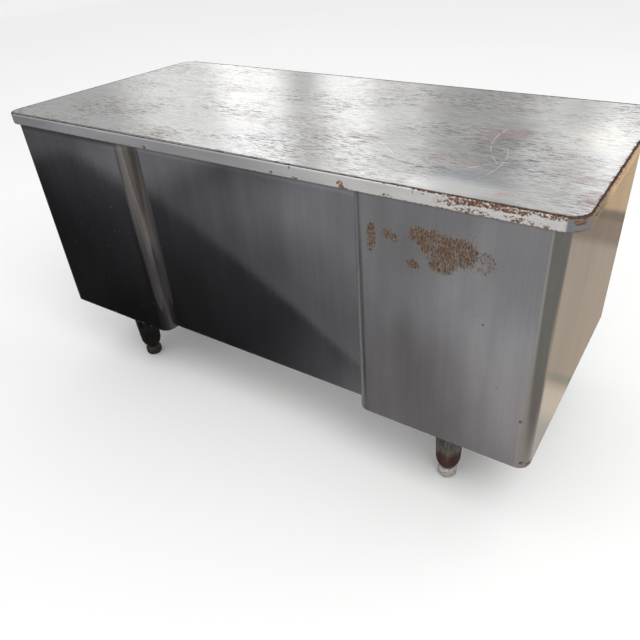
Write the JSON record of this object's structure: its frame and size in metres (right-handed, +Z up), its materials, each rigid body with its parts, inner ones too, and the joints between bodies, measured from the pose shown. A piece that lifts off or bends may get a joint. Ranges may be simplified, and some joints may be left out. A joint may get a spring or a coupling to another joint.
{
  "type": "double-pedestal steel desk",
  "caption": "Free-standing steel office desk with drawer pedestals, centre drawer, pull-out writing boards, recessed modesty panel and short tapered legs with levelling glides.",
  "frame": {"origin": "on the floor, under the middle of the desk's outline", "axes": "+Z up, -Y towards the panelled side that faces a visitor, +Y towards the drawer side where the user sits, +X to the right as seen from the panelled side"},
  "size_m": [1.492, 0.686, 0.762],
  "materials": {
    "worksurface_steel": "brushed bare steel with streaks, scratches and light rust staining",
    "band_steel": "bare steel, rust chipped along its edges",
    "case_steel": "bare steel, ground vertically, mill-dark with rust patches",
    "front_steel": "bare steel, ground, light rust at the edges",
    "inner_paint": "worn grey-green factory enamel",
    "slide_steel": "plain cold-rolled steel, lightly greased",
    "leg_steel": "bare steel, rust-brown towards the foot",
    "glide_nickel": "worn nickel plate",
    "pull_aluminium": "satin aluminium, worn",
    "lock_chrome": "bright plate, fine scratches",
    "core_board": "dark hardboard core",
    "board_wood": "varnished plywood",
    "pencil_plastic": "moulded, matt",
    "zinc_screws": "zinc plate"
  },
  "bodies": {
    "desk_frame": {"top_worksurface": "worksurface_steel", "top_edge_band": "band_steel", "top_core_board": "core_board", "top_under_pan": "inner_paint", "top_mounting_bolts": "zinc_screws", "left_case_shell": "case_steel", "left_case_base_pan": "case_steel", "left_leg_channel": "inner_paint", "left_inner_frame": "inner_paint", "left_case_top_rails": "inner_paint", "left_drawer_runners": "slide_steel", "left_rear_leg": "leg_steel", "left_front_leg": "leg_steel", "right_case_shell": "case_steel", "right_case_base_pan": "case_steel", "right_leg_channel": "inner_paint", "right_inner_frame": "inner_paint", "right_case_top_rails": "inner_paint", "right_drawer_runners": "slide_steel", "right_rear_leg": "leg_steel", "right_front_leg": "leg_steel", "file_slide_outer": "slide_steel", "center_drawer_runners": "slide_steel", "modesty_panel": "case_steel", "modesty_stiffener": "inner_paint", "modesty_screws": "zinc_screws", "leg_stud_nuts": "zinc_screws"},
    "left_bottom_drawer": {"left_bottom_drawer_front": "front_steel", "left_bottom_drawer_tray": "inner_paint", "left_bottom_drawer_pull": "pull_aluminium"},
    "left_middle_drawer": {"left_middle_drawer_front": "front_steel", "left_middle_drawer_tray": "inner_paint", "left_middle_drawer_pull": "pull_aluminium"},
    "left_top_drawer": {"left_top_drawer_front": "front_steel", "left_top_drawer_tray": "inner_paint", "left_top_drawer_pull": "pull_aluminium"},
    "right_top_drawer": {"right_top_drawer_front": "front_steel", "right_top_drawer_tray": "inner_paint", "right_top_drawer_pull": "pull_aluminium"},
    "file_drawer": {"file_drawer_front": "front_steel", "file_drawer_tray": "inner_paint", "file_drawer_pull": "pull_aluminium", "file_slide_inner": "slide_steel", "file_label_holder": "pull_aluminium"},
    "file_slide": {"file_slide_middle": "slide_steel"},
    "file_follower": {"file_follower": "inner_paint"},
    "center_drawer": {"center_drawer_front": "front_steel", "center_drawer_tray": "inner_paint", "center_finger_pull": "front_steel", "lock_housing": "lock_chrome", "pencil_tray": "pencil_plastic"},
    "lock_plug": {"lock_plug": "lock_chrome"},
    "left_writing_board": {"left_writing_board": "board_wood", "left_writing_board_edge": "front_steel"},
    "left_rear_glide": {"left_rear_glide": "glide_nickel"},
    "left_front_glide": {"left_front_glide": "glide_nickel"},
    "right_writing_board": {"right_writing_board": "board_wood", "right_writing_board_edge": "front_steel"},
    "right_rear_glide": {"right_rear_glide": "glide_nickel"},
    "right_front_glide": {"right_front_glide": "glide_nickel"}
  },
  "joints": [
    {"name": "left_bottom_drawer_run", "type": "slide", "parent": "desk_frame", "child": "left_bottom_drawer", "axis": [0, 1, 0], "range_m": [0, 0.4]},
    {"name": "left_middle_drawer_run", "type": "slide", "parent": "desk_frame", "child": "left_middle_drawer", "axis": [0, 1, 0], "range_m": [0, 0.4]},
    {"name": "left_top_drawer_run", "type": "slide", "parent": "desk_frame", "child": "left_top_drawer", "axis": [0, 1, 0], "range_m": [0, 0.4]},
    {"name": "right_top_drawer_run", "type": "slide", "parent": "desk_frame", "child": "right_top_drawer", "axis": [0, 1, 0], "range_m": [0, 0.4]},
    {"name": "file_drawer_run", "type": "slide", "parent": "desk_frame", "child": "file_drawer", "axis": [0, 1, 0], "range_m": [0, 0.54]},
    {"name": "file_slide_run", "type": "slide", "parent": "desk_frame", "child": "file_slide", "axis": [0, 1, 0], "range_m": [0, 0.27]},
    {"name": "file_follower_run", "type": "slide", "parent": "file_drawer", "child": "file_follower", "axis": [0, 1, 0], "range_m": [0, 0.43]},
    {"name": "center_drawer_run", "type": "slide", "parent": "desk_frame", "child": "center_drawer", "axis": [0, 1, 0], "range_m": [0, 0.33]},
    {"name": "lock_plug_turn", "type": "hinge", "parent": "center_drawer", "child": "lock_plug", "pos_m": [0, 0.315, 0.704], "axis": [0, 1, 0], "range_deg": [0, 90]},
    {"name": "left_writing_board_run", "type": "slide", "parent": "desk_frame", "child": "left_writing_board", "axis": [0, 1, 0], "range_m": [0, 0.3]},
    {"name": "right_writing_board_run", "type": "slide", "parent": "desk_frame", "child": "right_writing_board", "axis": [0, 1, 0], "range_m": [0, 0.3]},
    {"name": "left_rear_glide_screw", "type": "slide", "parent": "desk_frame", "child": "left_rear_glide", "axis": [0, 0, -1], "range_m": [0, 0.012]},
    {"name": "left_front_glide_screw", "type": "slide", "parent": "desk_frame", "child": "left_front_glide", "axis": [0, 0, -1], "range_m": [0, 0.012]},
    {"name": "right_rear_glide_screw", "type": "slide", "parent": "desk_frame", "child": "right_rear_glide", "axis": [0, 0, -1], "range_m": [0, 0.012]},
    {"name": "right_front_glide_screw", "type": "slide", "parent": "desk_frame", "child": "right_front_glide", "axis": [0, 0, -1], "range_m": [0, 0.012]}
  ],
  "couplings": [
    {"joint": "file_slide_run", "follows": "file_drawer_run", "ratio": 0.5}
  ]
}
